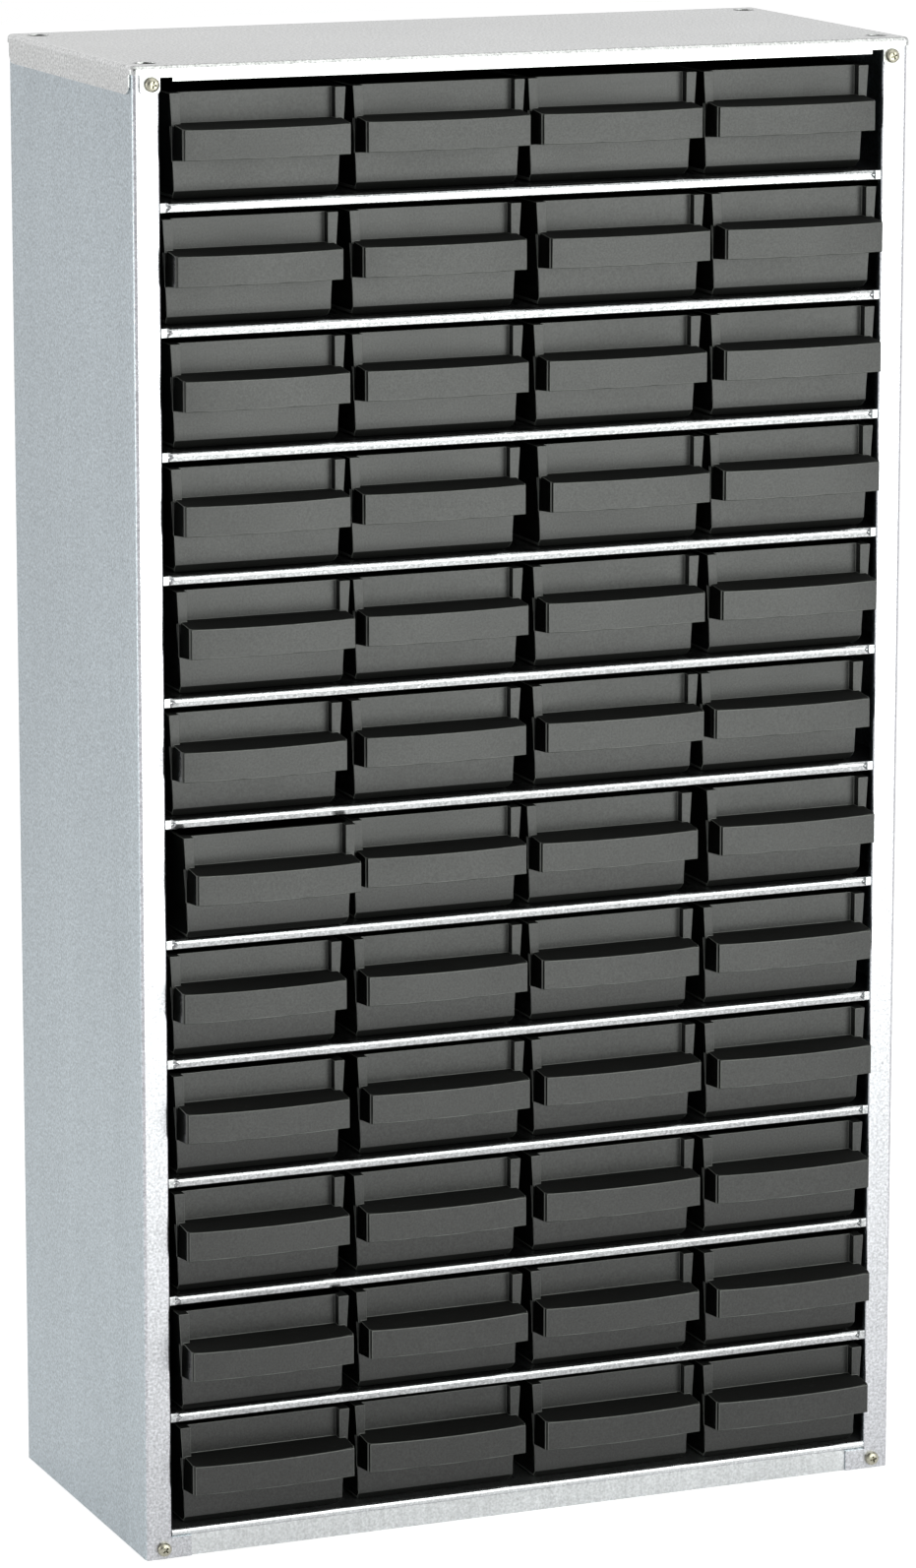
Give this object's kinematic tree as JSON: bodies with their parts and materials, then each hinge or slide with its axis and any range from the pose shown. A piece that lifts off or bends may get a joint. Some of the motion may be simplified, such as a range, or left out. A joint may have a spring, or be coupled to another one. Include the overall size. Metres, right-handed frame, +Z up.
{
  "type": "parts bin cabinet",
  "caption": "Tall sheet-steel cabinet of small open-topped plastic drawers that slide out on shelves; for sorting small parts.",
  "frame": {"origin": "centre of the four base holes, on the plane that the cabinet stands on", "axes": "+Z up, drawers open towards -Y, +X to the right as seen from the front"},
  "size_m": [0.306, 0.1575, 0.552],
  "materials": {
    "galvanised_steel": "galvanised sheet with a fine spangle, satin",
    "black_plastic": "black conductive polypropylene, satin moulded skin",
    "screw_steel": "zinc plated, slightly yellow"
  },
  "bodies": {
    "cabinet": {"top_cover": "galvanised_steel", "left_side_panel": "galvanised_steel", "right_side_panel": "galvanised_steel", "back_panel": "galvanised_steel", "base_panel": "galvanised_steel", "shelves": "galvanised_steel", "front_corner_screws": "screw_steel", "rear_corner_screws": "screw_steel"},
    "drawer_r01_c1": {"drawer_r01_c1": "black_plastic"},
    "drawer_r01_c2": {"drawer_r01_c2": "black_plastic"},
    "drawer_r01_c3": {"drawer_r01_c3": "black_plastic"},
    "drawer_r01_c4": {"drawer_r01_c4": "black_plastic"},
    "drawer_r02_c1": {"drawer_r02_c1": "black_plastic"},
    "drawer_r02_c2": {"drawer_r02_c2": "black_plastic"},
    "drawer_r02_c3": {"drawer_r02_c3": "black_plastic"},
    "drawer_r02_c4": {"drawer_r02_c4": "black_plastic"},
    "drawer_r03_c1": {"drawer_r03_c1": "black_plastic"},
    "drawer_r03_c2": {"drawer_r03_c2": "black_plastic"},
    "drawer_r03_c3": {"drawer_r03_c3": "black_plastic"},
    "drawer_r03_c4": {"drawer_r03_c4": "black_plastic"},
    "drawer_r04_c1": {"drawer_r04_c1": "black_plastic"},
    "drawer_r04_c2": {"drawer_r04_c2": "black_plastic"},
    "drawer_r04_c3": {"drawer_r04_c3": "black_plastic"},
    "drawer_r04_c4": {"drawer_r04_c4": "black_plastic"},
    "drawer_r05_c1": {"drawer_r05_c1": "black_plastic"},
    "drawer_r05_c2": {"drawer_r05_c2": "black_plastic"},
    "drawer_r05_c3": {"drawer_r05_c3": "black_plastic"},
    "drawer_r05_c4": {"drawer_r05_c4": "black_plastic"},
    "drawer_r06_c1": {"drawer_r06_c1": "black_plastic"},
    "drawer_r06_c2": {"drawer_r06_c2": "black_plastic"},
    "drawer_r06_c3": {"drawer_r06_c3": "black_plastic"},
    "drawer_r06_c4": {"drawer_r06_c4": "black_plastic"},
    "drawer_r07_c1": {"drawer_r07_c1": "black_plastic"},
    "drawer_r07_c2": {"drawer_r07_c2": "black_plastic"},
    "drawer_r07_c3": {"drawer_r07_c3": "black_plastic"},
    "drawer_r07_c4": {"drawer_r07_c4": "black_plastic"},
    "drawer_r08_c1": {"drawer_r08_c1": "black_plastic"},
    "drawer_r08_c2": {"drawer_r08_c2": "black_plastic"},
    "drawer_r08_c3": {"drawer_r08_c3": "black_plastic"},
    "drawer_r08_c4": {"drawer_r08_c4": "black_plastic"},
    "drawer_r09_c1": {"drawer_r09_c1": "black_plastic"},
    "drawer_r09_c2": {"drawer_r09_c2": "black_plastic"},
    "drawer_r09_c3": {"drawer_r09_c3": "black_plastic"},
    "drawer_r09_c4": {"drawer_r09_c4": "black_plastic"},
    "drawer_r10_c1": {"drawer_r10_c1": "black_plastic"},
    "drawer_r10_c2": {"drawer_r10_c2": "black_plastic"},
    "drawer_r10_c3": {"drawer_r10_c3": "black_plastic"},
    "drawer_r10_c4": {"drawer_r10_c4": "black_plastic"},
    "drawer_r11_c1": {"drawer_r11_c1": "black_plastic"},
    "drawer_r11_c2": {"drawer_r11_c2": "black_plastic"},
    "drawer_r11_c3": {"drawer_r11_c3": "black_plastic"},
    "drawer_r11_c4": {"drawer_r11_c4": "black_plastic"},
    "drawer_r12_c1": {"drawer_r12_c1": "black_plastic"},
    "drawer_r12_c2": {"drawer_r12_c2": "black_plastic"},
    "drawer_r12_c3": {"drawer_r12_c3": "black_plastic"},
    "drawer_r12_c4": {"drawer_r12_c4": "black_plastic"}
  },
  "joints": [
    {"name": "slide_r01_c1", "type": "slide", "parent": "cabinet", "child": "drawer_r01_c1", "axis": [0, -1, 0], "range_m": [-0.0034, 0.1012]},
    {"name": "slide_r01_c2", "type": "slide", "parent": "cabinet", "child": "drawer_r01_c2", "axis": [0, -1, 0], "range_m": [-0.0014, 0.1032]},
    {"name": "slide_r01_c3", "type": "slide", "parent": "cabinet", "child": "drawer_r01_c3", "axis": [0, -1, 0], "range_m": [-0.0008, 0.1038]},
    {"name": "slide_r01_c4", "type": "slide", "parent": "cabinet", "child": "drawer_r01_c4", "axis": [0, -1, 0], "range_m": [-0.0014, 0.1032]},
    {"name": "slide_r02_c1", "type": "slide", "parent": "cabinet", "child": "drawer_r02_c1", "axis": [0, -1, 0], "range_m": [-0.0038, 0.1008]},
    {"name": "slide_r02_c2", "type": "slide", "parent": "cabinet", "child": "drawer_r02_c2", "axis": [0, -1, 0], "range_m": [-0.003, 0.1016]},
    {"name": "slide_r02_c3", "type": "slide", "parent": "cabinet", "child": "drawer_r02_c3", "axis": [0, -1, 0], "range_m": [-0.0042, 0.1004]},
    {"name": "slide_r02_c4", "type": "slide", "parent": "cabinet", "child": "drawer_r02_c4", "axis": [0, -1, 0], "range_m": [-0.0042, 0.1004]},
    {"name": "slide_r03_c1", "type": "slide", "parent": "cabinet", "child": "drawer_r03_c1", "axis": [0, -1, 0], "range_m": [-0.0039, 0.1007]},
    {"name": "slide_r03_c2", "type": "slide", "parent": "cabinet", "child": "drawer_r03_c2", "axis": [0, -1, 0], "range_m": [-0.0031, 0.1015]},
    {"name": "slide_r03_c3", "type": "slide", "parent": "cabinet", "child": "drawer_r03_c3", "axis": [0, -1, 0], "range_m": [-0.0042, 0.1004]},
    {"name": "slide_r03_c4", "type": "slide", "parent": "cabinet", "child": "drawer_r03_c4", "axis": [0, -1, 0], "range_m": [-0.0042, 0.1004]},
    {"name": "slide_r04_c1", "type": "slide", "parent": "cabinet", "child": "drawer_r04_c1", "axis": [0, -1, 0], "range_m": [-0.0056, 0.099]},
    {"name": "slide_r04_c2", "type": "slide", "parent": "cabinet", "child": "drawer_r04_c2", "axis": [0, -1, 0], "range_m": [-0.0039, 0.1007]},
    {"name": "slide_r04_c3", "type": "slide", "parent": "cabinet", "child": "drawer_r04_c3", "axis": [0, -1, 0], "range_m": [-0.0046, 0.1]},
    {"name": "slide_r04_c4", "type": "slide", "parent": "cabinet", "child": "drawer_r04_c4", "axis": [0, -1, 0], "range_m": [-0.0042, 0.1004]},
    {"name": "slide_r05_c1", "type": "slide", "parent": "cabinet", "child": "drawer_r05_c1", "axis": [0, -1, 0], "range_m": [-0.0047, 0.0999]},
    {"name": "slide_r05_c2", "type": "slide", "parent": "cabinet", "child": "drawer_r05_c2", "axis": [0, -1, 0], "range_m": [-0.0042, 0.1004]},
    {"name": "slide_r05_c3", "type": "slide", "parent": "cabinet", "child": "drawer_r05_c3", "axis": [0, -1, 0], "range_m": [-0.0042, 0.1004]},
    {"name": "slide_r05_c4", "type": "slide", "parent": "cabinet", "child": "drawer_r05_c4", "axis": [0, -1, 0], "range_m": [-0.0048, 0.0998]},
    {"name": "slide_r06_c1", "type": "slide", "parent": "cabinet", "child": "drawer_r06_c1", "axis": [0, -1, 0], "range_m": [-0.005, 0.0996]},
    {"name": "slide_r06_c2", "type": "slide", "parent": "cabinet", "child": "drawer_r06_c2", "axis": [0, -1, 0], "range_m": [-0.0042, 0.1004]},
    {"name": "slide_r06_c3", "type": "slide", "parent": "cabinet", "child": "drawer_r06_c3", "axis": [0, -1, 0], "range_m": [-0.0042, 0.1004]},
    {"name": "slide_r06_c4", "type": "slide", "parent": "cabinet", "child": "drawer_r06_c4", "axis": [0, -1, 0], "range_m": [-0.0045, 0.1001]},
    {"name": "slide_r07_c1", "type": "slide", "parent": "cabinet", "child": "drawer_r07_c1", "axis": [0, -1, 0], "range_m": [-0.0098, 0.0948]},
    {"name": "slide_r07_c2", "type": "slide", "parent": "cabinet", "child": "drawer_r07_c2", "axis": [0, -1, 0], "range_m": [-0.0046, 0.1]},
    {"name": "slide_r07_c3", "type": "slide", "parent": "cabinet", "child": "drawer_r07_c3", "axis": [0, -1, 0], "range_m": [-0.005, 0.0996]},
    {"name": "slide_r07_c4", "type": "slide", "parent": "cabinet", "child": "drawer_r07_c4", "axis": [0, -1, 0], "range_m": [-0.0042, 0.1004]},
    {"name": "slide_r08_c1", "type": "slide", "parent": "cabinet", "child": "drawer_r08_c1", "axis": [0, -1, 0], "range_m": [-0.0044, 0.1002]},
    {"name": "slide_r08_c2", "type": "slide", "parent": "cabinet", "child": "drawer_r08_c2", "axis": [0, -1, 0], "range_m": [-0.0042, 0.1004]},
    {"name": "slide_r08_c3", "type": "slide", "parent": "cabinet", "child": "drawer_r08_c3", "axis": [0, -1, 0], "range_m": [-0.0045, 0.1001]},
    {"name": "slide_r08_c4", "type": "slide", "parent": "cabinet", "child": "drawer_r08_c4", "axis": [0, -1, 0], "range_m": [-0.0048, 0.0998]},
    {"name": "slide_r09_c1", "type": "slide", "parent": "cabinet", "child": "drawer_r09_c1", "axis": [0, -1, 0], "range_m": [-0.0055, 0.0991]},
    {"name": "slide_r09_c2", "type": "slide", "parent": "cabinet", "child": "drawer_r09_c2", "axis": [0, -1, 0], "range_m": [-0.0042, 0.1004]},
    {"name": "slide_r09_c3", "type": "slide", "parent": "cabinet", "child": "drawer_r09_c3", "axis": [0, -1, 0], "range_m": [-0.0042, 0.1004]},
    {"name": "slide_r09_c4", "type": "slide", "parent": "cabinet", "child": "drawer_r09_c4", "axis": [0, -1, 0], "range_m": [-0.0051, 0.0995]},
    {"name": "slide_r10_c1", "type": "slide", "parent": "cabinet", "child": "drawer_r10_c1", "axis": [0, -1, 0], "range_m": [-0.0042, 0.1004]},
    {"name": "slide_r10_c2", "type": "slide", "parent": "cabinet", "child": "drawer_r10_c2", "axis": [0, -1, 0], "range_m": [-0.0051, 0.0995]},
    {"name": "slide_r10_c3", "type": "slide", "parent": "cabinet", "child": "drawer_r10_c3", "axis": [0, -1, 0], "range_m": [-0.0042, 0.1004]},
    {"name": "slide_r10_c4", "type": "slide", "parent": "cabinet", "child": "drawer_r10_c4", "axis": [0, -1, 0], "range_m": [-0.0053, 0.0993]},
    {"name": "slide_r11_c1", "type": "slide", "parent": "cabinet", "child": "drawer_r11_c1", "axis": [0, -1, 0], "range_m": [-0.0079, 0.0967]},
    {"name": "slide_r11_c2", "type": "slide", "parent": "cabinet", "child": "drawer_r11_c2", "axis": [0, -1, 0], "range_m": [-0.0055, 0.0991]},
    {"name": "slide_r11_c3", "type": "slide", "parent": "cabinet", "child": "drawer_r11_c3", "axis": [0, -1, 0], "range_m": [-0.0042, 0.1004]},
    {"name": "slide_r11_c4", "type": "slide", "parent": "cabinet", "child": "drawer_r11_c4", "axis": [0, -1, 0], "range_m": [-0.006, 0.0986]},
    {"name": "slide_r12_c1", "type": "slide", "parent": "cabinet", "child": "drawer_r12_c1", "axis": [0, -1, 0], "range_m": [-0.0044, 0.1002]},
    {"name": "slide_r12_c2", "type": "slide", "parent": "cabinet", "child": "drawer_r12_c2", "axis": [0, -1, 0], "range_m": [-0.0027, 0.1019]},
    {"name": "slide_r12_c3", "type": "slide", "parent": "cabinet", "child": "drawer_r12_c3", "axis": [0, -1, 0], "range_m": [-0.0031, 0.1015]},
    {"name": "slide_r12_c4", "type": "slide", "parent": "cabinet", "child": "drawer_r12_c4", "axis": [0, -1, 0], "range_m": [-0.0053, 0.0993]}
  ]
}
